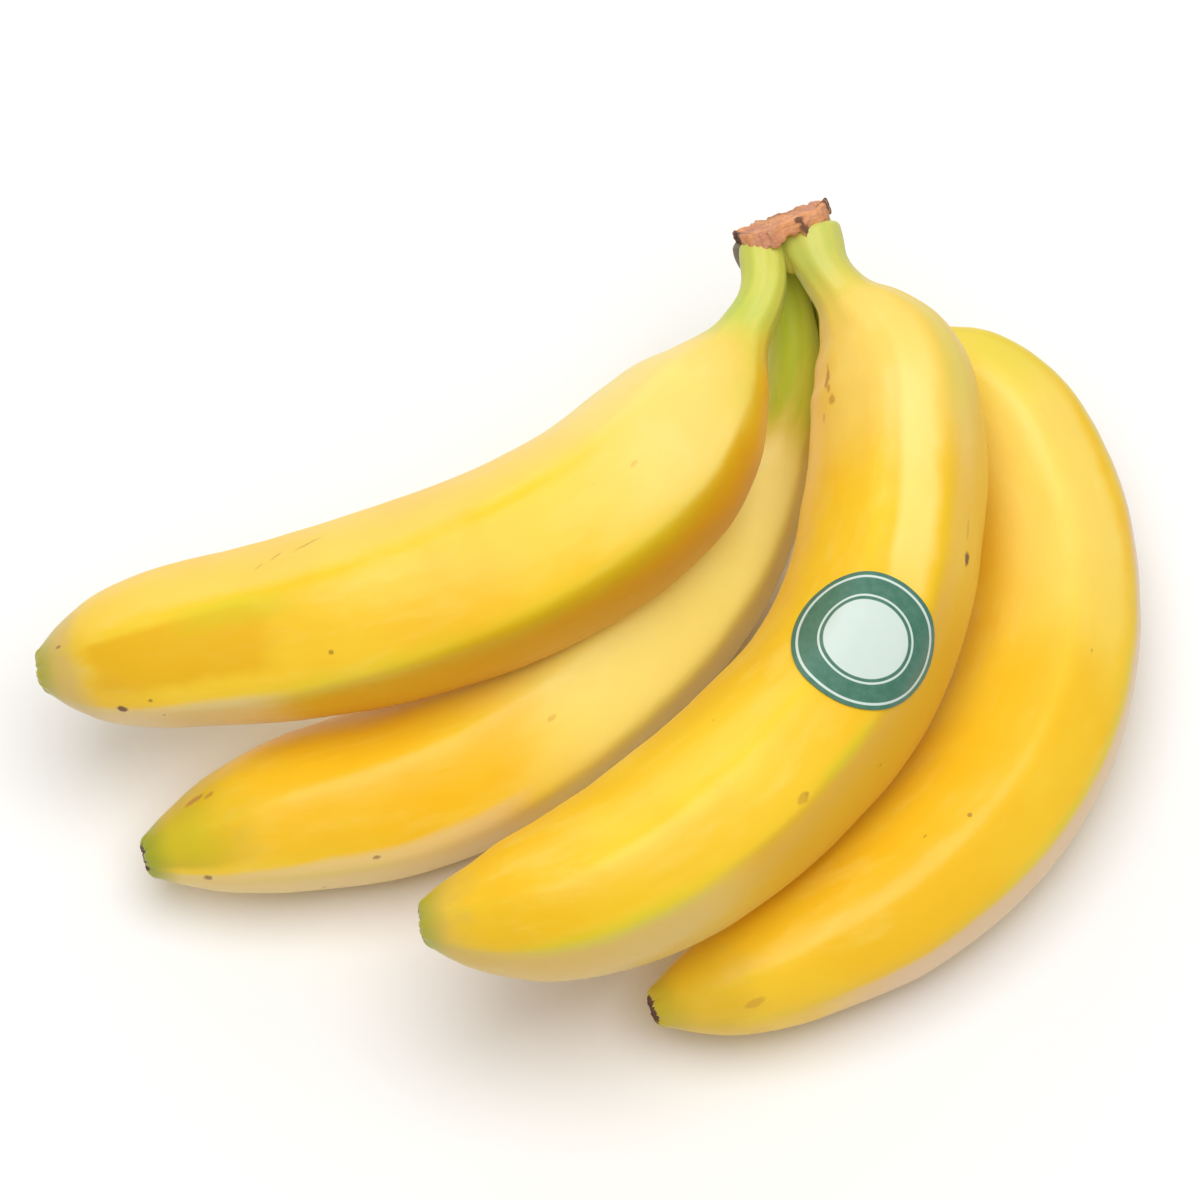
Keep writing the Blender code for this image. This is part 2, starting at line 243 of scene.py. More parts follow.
def pickOnly(piece):
    deselectAll()
    piece.select_set(True)
    bpy.context.view_layer.objects.active = piece


def applyAll(piece):
    pickOnly(piece)
    for modifier in list(piece.modifiers):
        bpy.ops.object.modifier_apply(modifier=modifier.name)


def smoothOnce(piece):
    smooth = piece.modifiers.new("Smooth", "SUBSURF")
    smooth.levels = 1
    smooth.render_levels = 1
    applyAll(piece)


def readPlaces(mesh):
    places = np.empty(len(mesh.vertices) * 3)
    mesh.vertices.foreach_get("co", places)
    return places.reshape(-1, 3)


def writePlaces(mesh, places):
    mesh.vertices.foreach_set("co", places.reshape(-1))
    mesh.update()


def storeValue(mesh, name, values):
    kind, key = ("FLOAT_VECTOR", "vector") if values.ndim == 2 else ("FLOAT", "value")
    mesh.attributes.new(name, kind, "POINT").data.foreach_set(key, values.reshape(-1))


def readAlong(stations, shares):
    # a smooth curve through the stations that never overshoots them
    places, values = np.array(stations, float).T
    slopes = np.diff(values) / np.diff(places)
    tangents = np.zeros(len(places))
    tangents[0], tangents[-1] = slopes[0], slopes[-1]
    before, after = slopes[:-1], slopes[1:]
    rising = before * after > 0
    tangents[1:-1][rising] = (2 * before * after)[rising] / (before + after)[rising]
    shares = np.clip(shares, places[0], places[-1])
    index = np.clip(np.searchsorted(places, shares, side="right") - 1, 0, len(places) - 2)
    width = places[index + 1] - places[index]
    t = (shares - places[index]) / width
    return (
        values[index] * (1 + 2 * t) * (1 - t) ** 2
        + values[index + 1] * t * t * (3 - 2 * t)
        + width * tangents[index] * t * (1 - t) ** 2
        - width * tangents[index + 1] * t * t * (1 - t)
    )


def fade(values, low, high):
    t = np.clip((values - low) / (high - low), 0, 1)
    return t * t * (3 - 2 * t)


def hump(directions, at, width):
    # one round hump about a direction, all in degrees
    away = (directions - at + 180) % 360 - 180
    return np.exp(-(away / width) ** 2 * 2)


def ridgeEdges(ridges):
    # the ridges in degrees from the first one, once round
    return np.array([ridge - ridges[0] for ridge in ridges] + [360.0])


def sideShare(turned, ridges, flatness):
    # how far the skin is in one direction, as a share of the distance to a ridge
    edges = ridgeEdges(ridges)
    turned = turned % 360
    index = np.clip(np.searchsorted(edges, turned, side="right") - 1, 0, len(ridges) - 1)
    half = np.radians(edges[index + 1] - edges[index]) / 2
    fromMiddle = np.radians(turned - edges[index]) - half
    return 1 - flatness * (1 - np.cos(half) / np.cos(fromMiddle))


def skinReach(fruit, shares, directions):
    # the radius in millimetres, with the ridges softened, and grooves down the stalk
    flatness = readAlong(peelShape["flatness"], shares)
    turned = directions - fruit["swing"] * shares - fruit["ridges"][0]
    reach = 0
    taps = np.linspace(-1.6, 1.6, 9)
    weights = np.exp(-taps ** 2)
    for tap, weight in zip(taps, weights / weights.sum()):
        reach = reach + weight * sideShare(turned + tap * peelShape["ridgeSoftness"], fruit["ridges"], flatness)
    grooves = np.cos(np.radians(directions * peelShape["stalkGrooves"]) + 2.5 * np.sin(np.radians(directions)))
    reach = reach * (1 + peelShape["grooveDepth"] * grooves * (1 - fade(shares, *peelShape["groovesEnd"])))
    reach = reach * readAlong(fruit["girth"], shares)
    for end, at, width, rise in fruit["flares"]:
        reach = reach + rise * (1 - fade(shares, 0, end)) * hump(directions, at, width)
    return reach


def degreesFromRidge(fruit, shares, directions):
    # how far round the fruit a point lies from the ridge that bounds its outer side, -180 to 180
    return (directions - fruit["swing"] * shares - fruit["ridges"][1] + 180) % 360 - 180


def degreesToAnyRidge(fruit, shares, directions):
    edges = ridgeEdges(fruit["ridges"])
    turned = (directions - fruit["swing"] * shares - fruit["ridges"][0]) % 360
    return np.abs(turned[:, None] - edges[None]).min(1)


def skinPoints(fruit, length, shares, directions, outwards=0.0):
    # points of the straight fruit, which stands on the origin with its tip up
    reach = (skinReach(fruit, shares, directions) + outwards) * mm
    turn = np.radians(directions)
    return np.stack([np.sin(turn) * reach, np.cos(turn) * reach, shares * length], 1)


def addGuide(name, fruit):
    deselectAll()
    bpy.ops.curve.primitive_bezier_curve_add(radius=1, location=(0, 0, 0))
    guide = bpy.context.object
    guide.name = name
    curve = guide.data
    curve.twist_mode = "Z_UP"
    curve.resolution_u = 24
    curve.use_deform_bounds = False
    points = curve.splines[0].bezier_points
    points.add(len(fruit["path"]) - 2)
    for point, place in zip(points, fruit["path"]):
        point.co = (Vector(place) - tablePoint) * mm
        point.handle_left_type = "AUTO"
        point.handle_right_type = "AUTO"
        point.radius = 1
        point.tilt = 0
    bpy.context.view_layer.update()
    return guide, curve.splines[0].calc_length()


def bendAlong(piece, guide):
    bend = piece.modifiers.new("Bend", "CURVE")
    bend.object = guide
    bend.deform_axis = "POS_Z"
    applyAll(piece)


def selectByHeight(piece, low, high):
    # selects the points between two heights, in edit mode
    bpy.ops.object.mode_set(mode="OBJECT")
    for item in (piece.data.polygons, piece.data.edges):
        item.foreach_set("select", [False] * len(item))
    for point in piece.data.vertices:
        point.select = low <= point.co.z <= high
    bpy.ops.object.mode_set(mode="EDIT")
    bpy.ops.mesh.select_mode(type="VERT")


def stepInwards(piece, height, scale, rise):
    # pulls the end ring on by one more ring, narrower and further along
    bpy.ops.mesh.extrude_region_move(TRANSFORM_OT_translate={"value": (0, 0, rise)})
    bpy.ops.transform.resize(value=(scale, scale, 1), center_override=(0, 0, height + rise))
    return height + rise


def addDents(piece, fruit):
    # broad and fine unevenness, the same for the peel and for what lies on it
    for size, depth, shift in peelShape["dents"]:
        texture = bpy.data.textures.new("dents", "CLOUDS")
        texture.noise_scale = size * mm
        texture.noise_depth = 2
        origin = bpy.data.objects.new("dentsOrigin", None)
        bpy.context.scene.collection.objects.link(origin)
        seed = fruit["seed"] + shift
        origin.location = (seed * 0.37, seed * 0.11, seed * 0.23)
        dents = piece.modifiers.new("dents", "DISPLACE")
        dents.texture = texture
        dents.texture_coords = "OBJECT"
        dents.texture_coords_object = origin
        dents.mid_level = 0.5
        dents.strength = depth * mm
        bpy.context.view_layer.update()
        applyAll(piece)
        bpy.data.objects.remove(origin)


endShape = {
    # each further ring: its size as a share of the one before, and its rise in millimetres
    "tip": (
        (0.94, 0.45), (0.89, 0.45), (0.81, 0.40), (0.74, 0.25), (0.80, 0.03), (0.90, -0.22), (0.78, -0.25),
        (0.75, 0.1), (0.8, 0.35), (0.6, 0.1),
    ),
    "stalk": ((0.97, -0.5), (0.93, -0.4), (0.8, -0.3), (0.5, -0.1)),
    "tornFrom": -1.0,           # heights off the fruit's end where the tip starts to be torn and is fully so
    "tornTo": 0.8,
    "tear": 0.10,
    "ripple": 0.022,
    "driedWander": 0.12,
    "driedSoftness": 0.4,
}


def addBanana(node, fruit):
    guide, length = addGuide(node + "_guide", fruit)
    deselectAll()
    bpy.ops.mesh.primitive_cylinder_add(
        vertices=peelShape["sides"], radius=10 * mm, depth=1, end_fill_type="NOTHING", location=(0, 0, 0.5))
    piece = bpy.context.object
    piece.name = node + "_peel"
    bpy.ops.object.transform_apply(location=True, rotation=False, scale=False)
    # the upright edges are cut into rings
    heights = readPlaces(piece.data)[:, 2]
    upright = [abs(heights[edge.vertices[0]] - heights[edge.vertices[1]]) > 0.5 for edge in piece.data.edges]
    bpy.ops.object.mode_set(mode="EDIT")
    bpy.ops.mesh.select_mode(type="EDGE")
    bpy.ops.mesh.select_all(action="DESELECT")
    bpy.ops.object.mode_set(mode="OBJECT")
    piece.data.edges.foreach_set("select", upright)
    bpy.ops.object.mode_set(mode="EDIT")
    bpy.ops.mesh.subdivide(number_cuts=peelShape["rings"] - 1)
    bpy.ops.object.mode_set(mode="OBJECT")
    # each point goes to the skin, with the rings closer together towards both ends
    raw = readPlaces(piece.data)
    even = raw[:, 2]
    shares = 0.45 * even + 0.55 * (1 - np.cos(np.pi * even)) / 2
    directions = np.degrees(np.arctan2(raw[:, 0], raw[:, 1]))
    writePlaces(piece.data, skinPoints(fruit, length, shares, directions))
    # the blossom end closes over a small dried scar, and the stalk runs on into the crown
    for edge, steps in ((length, endShape["tip"]), (0, endShape["stalk"])):
        selectByHeight(piece, edge - 0.01 * mm, edge + 0.01 * mm)
        height = edge
        for scale, rise in steps:
            height = stepInwards(piece, height, scale, rise * mm)
        bpy.ops.mesh.merge(type="CENTER")
    bpy.ops.object.mode_set(mode="OBJECT")
    straight = readPlaces(piece.data)
    turn = np.arctan2(straight[:, 0], straight[:, 1])
    torn = (np.sin(5 * turn + fruit["seed"]) + 0.7 * np.sin(11 * turn + 2 * fruit["seed"])
            + 0.6 * np.sin(19 * turn + 3 * fruit["seed"]) + 0.5 * np.sin(31 * turn))
    near = fade(straight[:, 2], length + endShape["tornFrom"] * mm, length + endShape["tornTo"] * mm)
    straight[:, 2] += near * torn * endShape["tear"] * mm
    straight[:, :2] *= 1 + (near * torn * endShape["ripple"])[:, None]
    writePlaces(piece.data, straight)
    # what the peel's colours read: the straight fruit's own places, and where its ridges are
    shares = straight[:, 2] / length
    directions = np.degrees(turn)
    storeValue(piece.data, "straight", straight)
    storeValue(piece.data, "along", np.clip(shares, 0, 1.05))
    storeValue(piece.data, "turned", degreesFromRidge(fruit, shares, directions))
    storeValue(piece.data, "ridge", degreesToAnyRidge(fruit, shares, directions))
    fromAxis = np.hypot(straight[:, 0], straight[:, 1]) + torn * endShape["driedWander"] * mm
    dryTo = fruit["driedRadius"]
    dried = fade(-fromAxis, -(dryTo + endShape["driedSoftness"]) * mm, -dryTo * mm)
    storeValue(piece.data, "dried", dried * fade(straight[:, 2], length + endShape["tornFrom"] * mm, length))
    bendAlong(piece, guide)
    smoothOnce(piece)
    addDents(piece, fruit)
    # nothing goes through the table: the low side is pressed flat there
    places = readPlaces(piece.data)
    places[:, 2] = np.maximum(places[:, 2], peelShape["tableGap"] * mm)
    writePlaces(piece.data, places)
    pickOnly(piece)
    bpy.ops.object.shade_smooth()
    piece.data.materials.append(peelMaterial(node + "Peel", fruit, length))
    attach(piece, "root")
    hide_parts(node)
    "peel_" + node.replace("banana_", "")
    print(node, len(piece.data.polygons), "faces")
    return guide, length


class Wire:
    # one output socket; sums and products written on it add Math nodes

    def __init__(self, recipe, socket):
        self.recipe = recipe
        self.socket = socket

    def __add__(self, other):
        return self.recipe.maths("ADD", self, other)

    def __mul__(self, other):
        return self.recipe.maths("MULTIPLY", self, other)

    def __sub__(self, other):
        return self.recipe.maths("SUBTRACT", self, other)

    def __rsub__(self, other):
        return self.recipe.maths("SUBTRACT", other, self)

    __radd__ = __add__
    __rmul__ = __mul__


class Recipe:
    # a material's node tree, written as expressions

    def __init__(self, name):
        self.material = bpy.data.materials.new(name)
        self.material.use_nodes = True
        self.tree = self.material.node_tree
        self.shader = self.tree.nodes["Principled BSDF"]

    def plug(self, socket, value):
        if isinstance(value, Wire):
            self.tree.links.new(value.socket, socket)
        elif socket.type == "RGBA" and len(value) == 3:
            socket.default_value = (*value, 1)
        else:
            socket.default_value = value

    def node(self, kind, settings=None, inputs=None, output=0):
        made = self.tree.nodes.new(kind)
        for key, value in (settings or {}).items():
            setattr(made, key, value)
        for key, value in (inputs or {}).items():
            self.plug(made.inputs[key], value)
        return Wire(self, made.outputs[output])

    def maths(self, operation, *values):
        return self.node("ShaderNodeMath", {"operation": operation}, dict(enumerate(values)))

    def mix(self, factor, first, second):
        settings = {"data_type": "RGBA", "clamp_factor": True}
        return self.node("ShaderNodeMix", settings, {0: factor, 6: first, 7: second}, 2)

    def vectorMaths(self, operation, *values, output=0):
        return self.node("ShaderNodeVectorMath", {"operation": operation}, dict(enumerate(values)), output)

    def band(self, value, low, high, start=0.0, end=1.0):
        # a smooth step from start to end
        settings = {"interpolation_type": "SMOOTHSTEP"}
        return self.node("ShaderNodeMapRange", settings, {0: value, 1: low, 2: high, 3: start, 4: end})

    def under(self, value, low, high):
        # the step the other way round
        return self.band(value, low, high, 1.0, 0.0)

    def noise(self, vector, scale, detail, roughness):
        inputs = {"Vector": vector, "Scale": scale, "Detail": detail, "Roughness": roughness}
        return self.node("ShaderNodeTexNoise", None, inputs)

    def cells(self, vector, scale):
        return self.node("ShaderNodeTexVoronoi", {"feature": "F1"}, {"Vector": vector, "Scale": scale})

    def bump(self, strength, distance, height):
        return self.node("ShaderNodeBump", None, {"Strength": strength, "Distance": distance, "Height": height})

    def attribute(self, name, output):
        return self.node("ShaderNodeAttribute", {"attribute_name": name}, None, output)

    def surface(self, **inputs):
        for key, value in inputs.items():
            self.plug(self.shader.inputs[key.replace("_", " ")], value)


peelColours = {
    "yellow": (0.93, 0.61, 0.030),
    "deepYellow": (0.90, 0.53, 0.014),
    "paleYellow": (0.95, 0.71, 0.16),
    "ridgeGreen": (0.68, 0.63, 0.022),
    "tipGreen": (0.34, 0.37, 0.020),
    "driedBrown": (0.13, 0.055, 0.024),
    "bruiseBrown": (0.15, 0.055, 0.020),
    "scuffBrown": (0.50, 0.22, 0.03),
}
# scale, detail and roughness of each pattern
peelPatterns = {
    "clouds": (24, 3, 0.55),
    "patches": (70, 3, 0.6),
    "streaks": (170, 4, 0.6),
    "fineStreaks": (640, 3, 0.6),
    "speckle": (1500, 2, 0.5),
    "blotches": (1100, 3, 0.6),
    "freckleGroups": (55, 1, 0.5),
}
streakStretch = (1.0, 1.0, 0.28)  # streaks are drawn out along the fruit


def peelMaterial(name, fruit, length):
    recipe = Recipe(name)
    straight = recipe.attribute("straight", 1)
    along = recipe.attribute("along", 2)
    turned = recipe.attribute("turned", 2)
    ridge = recipe.attribute("ridge", 2)
    dried = recipe.attribute("dried", 2)
    # every fruit takes its pattern from another place
    seeded = recipe.vectorMaths("ADD", straight, (fruit["seed"] * 0.7, fruit["seed"] * 0.3, 0.0))
    drawnOut = recipe.vectorMaths("MULTIPLY", seeded, streakStretch)
    clouds = recipe.noise(seeded, *peelPatterns["clouds"])
    patches = recipe.noise(seeded, *peelPatterns["patches"])
    streaks = recipe.noise(drawnOut, *peelPatterns["streaks"])
    fineStreaks = recipe.noise(drawnOut, *peelPatterns["fineStreaks"])
    speckle = recipe.noise(seeded, *peelPatterns["speckle"])
    blotches = recipe.noise(seeded, *peelPatterns["blotches"])
    wander = (clouds - 0.5) * 0.10 + (streaks - 0.5) * 0.05
    wobble = (patches - 0.5) * 16
    colour = recipe.mix(recipe.band(clouds, 0.36, 0.66), peelColours["yellow"], peelColours["deepYellow"])
    colour = recipe.mix(recipe.band(streaks, 0.50, 0.74) * 0.30, colour, peelColours["paleYellow"])
    colour = recipe.mix(recipe.band(fineStreaks, 0.5, 0.8) * 0.16, colour, peelColours["deepYellow"])
    # each zone is either the fruit's own colour or painted light: a painted highlight, painted shade, or tan
    # painted light bounced from the table
    for low, high, start, stop, soft, strength, tone in fruit["colourAndLightZones"]:
        zone = recipe.band(along + wander, start - soft, start + soft)
        zone = zone * recipe.under(along + wander, stop - soft, stop + soft)
        if high - low < 360:
            lowEnd = low + (40.0 if low < -100 else 5.0)  # far sides fade slowly, ridges sharply
            zone = zone * recipe.band(turned + wobble * 0.3, low - 2.0, lowEnd)
            zone = zone * recipe.under(turned + wobble, high - 12, high)
        colour = recipe.mix(zone * strength, colour, tone)
    for at, side, size, spread, strength in fruit["greenPatches"]:
        lengthwise = recipe.maths("ABSOLUTE", along + wander * 0.5 - at)
        across = recipe.maths("ABSOLUTE", turned + wobble * 0.6 - side)
        patch = recipe.under(lengthwise, size * 0.2, size) * recipe.under(across, spread * 0.1, spread)
        colour = recipe.mix(patch * strength, colour, peelColours["ridgeGreen"])
    edge = recipe.under(ridge, 0.5, 6.0) * recipe.band(patches, 0.35, 0.6) * recipe.band(along, 0.2, 0.35)
    colour = recipe.mix(edge * 0.15, colour, peelColours["ridgeGreen"])
    stalk = recipe.under(along + wander * 0.5, fruit["stalkEnds"] - 0.045, fruit["stalkEnds"] + 0.045)
    paleStreaks = recipe.band(streaks, 0.4, 0.7) * 0.28
    stalkTone = recipe.mix(paleStreaks, fruit["stalkColour"], peelColours["paleYellow"])
    colour = recipe.mix(stalk, colour, stalkTone)
    tip = recipe.band(along + wander * 0.25, 0.968, 1.002)
    colour = recipe.mix(tip * fruit["tipGreenness"], colour, peelColours["tipGreen"])
    scar = recipe.band(dried + (speckle - 0.5) * 0.5, 0.3, 0.6)
    colour = recipe.mix(scar, colour, peelColours["driedBrown"])
    for kind, stain in (("spots", peelColours["bruiseBrown"]), ("scuffs", peelColours["scuffBrown"])):
        for at, side, size, stretch, strength, slant in fruit[kind]:
            onwards = (along - at) * (length / mm)
            sideways = (turned - side) * (readAlong(fruit["girth"], np.array([at]))[0] * math.radians(1))
            slantCos, slantSin = math.cos(math.radians(slant)), math.sin(math.radians(slant))
            lengthwise = (onwards * slantCos + sideways * slantSin) * (2 / size / stretch)
            across = (sideways * slantCos - onwards * slantSin) * (2 / size)
            far = recipe.maths("SQRT", lengthwise * lengthwise + across * across)
            ragged = far + (blotches - 0.5) * 1.1
            colour = recipe.mix(recipe.under(ragged, 0.55, 1.2) * strength, colour, stain)
    groups = recipe.noise(seeded, *peelPatterns["freckleGroups"])
    freckles = recipe.under(recipe.cells(seeded, 90.0), 0.03, 0.055) * recipe.band(groups, 0.60, 0.64)
    colour = recipe.mix(freckles * 0.55, colour, peelColours["bruiseBrown"])
    roughness = 0.35 + (streaks - 0.5) * 0.16 + stalk * 0.06 + dried * 0.4
    height = streaks * 0.5 + fineStreaks * 0.4 + speckle * 0.25
    bump = recipe.bump(0.25, 0.25 * mm, height)
    recipe.surface(Base_Color=colour, Roughness=roughness, Normal=bump, IOR=1.45, Specular_IOR_Level=0.4)
    recipe.surface(Subsurface_Weight=0.06, Subsurface_Scale=0.003, Subsurface_Radius=(1.0, 0.7, 0.2))
    recipe.surface(Sheen_Weight=0.05, Sheen_Roughness=0.45)
    return recipe.material


fruits = {
    "banana_upper_left": bananaUpperLeft,
    "banana_lower_left": bananaLowerLeft,
    "banana_upper_front": bananaUpperFront,
    "banana_lower_right": bananaLowerRight,
}
guides = {node: addBanana(node, fruit) for node, fruit in fruits.items()}
print("fruits done")


# The crown that the stalks grow from. Its sizes are along the cut, across it and up from it, in millimetres.
crown = {
    "centre": (37.0, 64.0, 62.9),
    "along": (0.93, 0.30, 0.17),
    "up": (-0.345, 0.705, 0.605),
    "radiusAlong": 9.6,
    "radiusFront": 11.6,
    "radiusBack": 9.2,
    "shiftAlong": 0.8,
    "spokes": 144,
    # radius and height of each ring, from the underside round the rim to the middle of the cut
    "profile": (
        (0.55, 2.9), (0.80, 2.7), (0.93, 2.5), (0.985, 2.4), (1.01, 2.55), (1.02, 2.9), (1.02, 3.4),
        (1.02, 3.9), (1.02, 4.3), (1.005, 4.6), (0.975, 4.75), (0.94, 4.7), (0.90, 4.5), (0.84, 4.4),
        (0.76, 4.35), (0.67, 4.3), (0.57, 4.3), (0.46, 4.25), (0.35, 4.25), (0.24, 4.25), (0.13, 4.25),
        (0.05, 4.25),
    ),
    # where the dried skin hangs lower: degrees from the right end towards the back, width, and drop
    "tears": (
        (188, 15, 6.2), (208, 12, 2.4), (228, 16, 2.0), (248, 16, 1.8), (277, 8, 0.7), (291, 7, 2.9),
        (335, 22, 1.0), (30, 15, 1.0), (90, 30, 0.8), (135, 10, 1.6),
    ),
    # where it juts out over a stalk: degrees, width, and share of the radius
    "juts": ((218, 26, 0.13), (322, 20, 0.10)),
    # waves of the rim: how many round the cut, where they start in degrees, and how high each one is
    "ripples": ((7, 40, 1), (13, 0, 0.7), (29, 60, 0.5), (47, 0, 0.35)),
    "rippleDrop": 0.28,
    "rippleWidth": 0.012,
    "rippleRise": 0.12,
    "lobes": ((3, 20, 0.03), (5, 0, 0.02)),
    "endCurl": 0.35,
    # size and depth of the cut's unevenness, in millimetres
    "lumps": (2.6, 0.8),
    "fibres": (0.7, 0.35),
    # where the cut has dried darkest: degrees, width, and strength
    "darkEnds": ((184, 32, 0.95), (3, 17, 0.95), (292, 9, 0.8), (90, 60, 0.4)),
    "fleshGrowth": 0.8,
    "fleshGrid": 0.4,
    "fleshTop": (2.0, 0.55),    # the height above which the flesh is pressed down, and by what share
    "webSetback": (-5.0, 0.5),  # the same for the flesh that bulges forwards between the front stalks
}


crownColours = {
    "cutBrown": (0.62, 0.27, 0.16),
    "cutOrange": (0.88, 0.38, 0.15),
    "paleFibre": (0.80, 0.52, 0.34),
    "darkFibre": (0.30, 0.10, 0.045),
    "pore": (0.24, 0.08, 0.04),
    "rim": (0.30, 0.11, 0.06),
    "driedEnd": (0.06, 0.030, 0.022),
    "fleshGreen": (0.50, 0.50, 0.06),
    "fleshOlive": (0.42, 0.36, 0.035),
    "fleshFibre": (0.30, 0.20, 0.03),
    "fleshDried": (0.11, 0.045, 0.022),
}


def crownAxes():
    along = Vector(crown["along"]).normalized()
    up = Vector(crown["up"])
    up = (up - up.project(along)).normalized()
    return along, up.cross(along), up


def crownCentre():
    return np.array((Vector(crown["centre"]) - tablePoint) * mm)


def toCrown(places):
    # from the crown's own along, across and up to the bunch's place
    along, across, up = (np.array(axis) for axis in crownAxes())
    return crownCentre() + places[:, :1] * along + places[:, 1:2] * across + places[:, 2:] * up


def waves(turn, series):
    return sum(height * np.sin(np.radians(turn * count + start)) for count, start, height in series)


def roughen(piece, name, size, depth, kind="CLOUDS"):
    texture = bpy.data.textures.new(name, kind)
    texture.noise_scale = size
    dents = piece.modifiers.new(name, "DISPLACE")
    dents.texture = texture
    dents.texture_coords = "LOCAL"
    dents.mid_level = 0.5
    dents.strength = depth


def addCrownCut():
    # the dried cut face with its torn rim
    deselectAll()
    firstRadius, firstHeight = crown["profile"][0]
    bpy.ops.mesh.primitive_circle_add(
        vertices=crown["spokes"], radius=firstRadius, location=(0, 0, firstHeight))
    piece = bpy.context.object
    piece.name = "crown_cut"
    bpy.ops.object.transform_apply(location=True, rotation=False, scale=False)
    bpy.ops.object.mode_set(mode="EDIT")
    bpy.ops.mesh.select_mode(type="VERT")
    bpy.ops.mesh.select_all(action="SELECT")
    bpy.ops.mesh.edge_face_add()
    bpy.ops.mesh.poke()
    bpy.ops.mesh.select_all(action="DESELECT")
    bpy.ops.mesh.select_non_manifold()
    radius, height = firstRadius, firstHeight
    for nextRadius, nextHeight in crown["profile"][1:]:
        scale = nextRadius / radius
        bpy.ops.mesh.extrude_region_move(TRANSFORM_OT_translate={"value": (0, 0, nextHeight - height)})
        bpy.ops.transform.resize(value=(scale, scale, 1), center_override=(0, 0, nextHeight))
        radius, height = nextRadius, nextHeight
    bpy.ops.mesh.merge(type="CENTER")
    bpy.ops.mesh.select_all(action="SELECT")
    bpy.ops.mesh.normals_make_consistent(inside=False)
    bpy.ops.object.mode_set(mode="OBJECT")
    smoothOnce(piece)
    x, y, z = readPlaces(piece.data).T
    turn = np.degrees(np.arctan2(y, x)) % 360
    reach = np.hypot(x, y)
    ripple = waves(turn, crown["ripples"])
    hang = fade(4.1 - z, 0, 1.6) * fade(reach, 0.8, 0.95)
    drop = crown["rippleDrop"] * ripple
    for at, width, depth in crown["tears"]:
        drop = drop + depth * hump(turn, at, width)
    z = z - hang * drop
    edge = fade(reach, 0.7, 1.0)
    outline = 1 + edge * (crown["rippleWidth"] * ripple + waves(turn, crown["lobes"]))
    for at, width, share in crown["juts"]:
        outline = outline + edge * share * hump(turn, at, width)
    # the rim curls up most at both ends
    curl = crown["endCurl"] * np.cos(np.radians(turn)) ** 2 + crown["rippleRise"] * ripple
    z = z + edge * curl * fade(z, 4.1, 4.6)
    radiusAcross = np.where(y < 0, crown["radiusFront"], crown["radiusBack"])
    storeValue(piece.data, "reach", reach)
    storeValue(piece.data, "turned", turn)
    along = x * outline * crown["radiusAlong"] + crown["shiftAlong"]
    writePlaces(piece.data, np.stack([along, y * outline * radiusAcross, z], 1))
    roughen(piece, "lumps", *crown["lumps"])
    roughen(piece, "fibres", *crown["fibres"], "STUCCI")
    applyAll(piece)
    storeValue(piece.data, "grain", readPlaces(piece.data) * mm)
    writePlaces(piece.data, toCrown(readPlaces(piece.data) * mm))
    pickOnly(piece)
    bpy.ops.object.shade_smooth()
    piece.data.materials.append(crownCutMaterial())
    return piece


def crownCutMaterial():
    recipe = Recipe("driedCrownFibre")
    grain = recipe.attribute("grain", 1)
    reach = recipe.attribute("reach", 2)
    turned = recipe.attribute("turned", 2)
    drawnOut = recipe.vectorMaths("MULTIPLY", grain, (0.35, 1.0, 1.0))
    patches = recipe.noise(grain, 190, 4, 0.6)
    fibres = recipe.noise(drawnOut, 900, 4, 0.65)
    pores = recipe.cells(drawnOut, 1500.0)
    side = recipe.band(turned, 250, 275) * recipe.under(turned, 330, 350)
    colour = recipe.mix(
        recipe.band(patches + side * 0.1, 0.40, 0.60), crownColours["cutBrown"], crownColours["cutOrange"])
    colour = recipe.mix(recipe.band(fibres, 0.45, 0.75) * 0.6, colour, crownColours["paleFibre"])
    colour = recipe.mix(recipe.under(fibres, 0.25, 0.45) * 0.65, colour, crownColours["darkFibre"])
    colour = recipe.mix(recipe.under(pores, 0.1, 0.35) * 0.3, colour, crownColours["pore"])
    rim = recipe.band(reach + (patches - 0.5) * 0.5, 0.96, 1.04)
    colour = recipe.mix(rim * 0.35, colour, crownColours["rim"])
    # both ends, the back and the torn notch have dried darkest
    nearRim = recipe.band(reach + (patches - 0.5) * 0.6, 0.7, 0.95)
    for at, width, strength in crown["darkEnds"]:
        away = recipe.maths("ABSOLUTE", recipe.maths("WRAP", turned - at + (patches - 0.5) * 60, 180.0, -180.0))
        dark = recipe.under(away, width * 0.2, width) * nearRim
        colour = recipe.mix(dark * strength, colour, crownColours["driedEnd"])
    bump = recipe.bump(0.7, 0.5 * mm, fibres + pores * 0.5)
    recipe.surface(Base_Color=colour, Roughness=0.82 + (fibres - 0.5) * 0.2, Normal=bump)
    return recipe.material


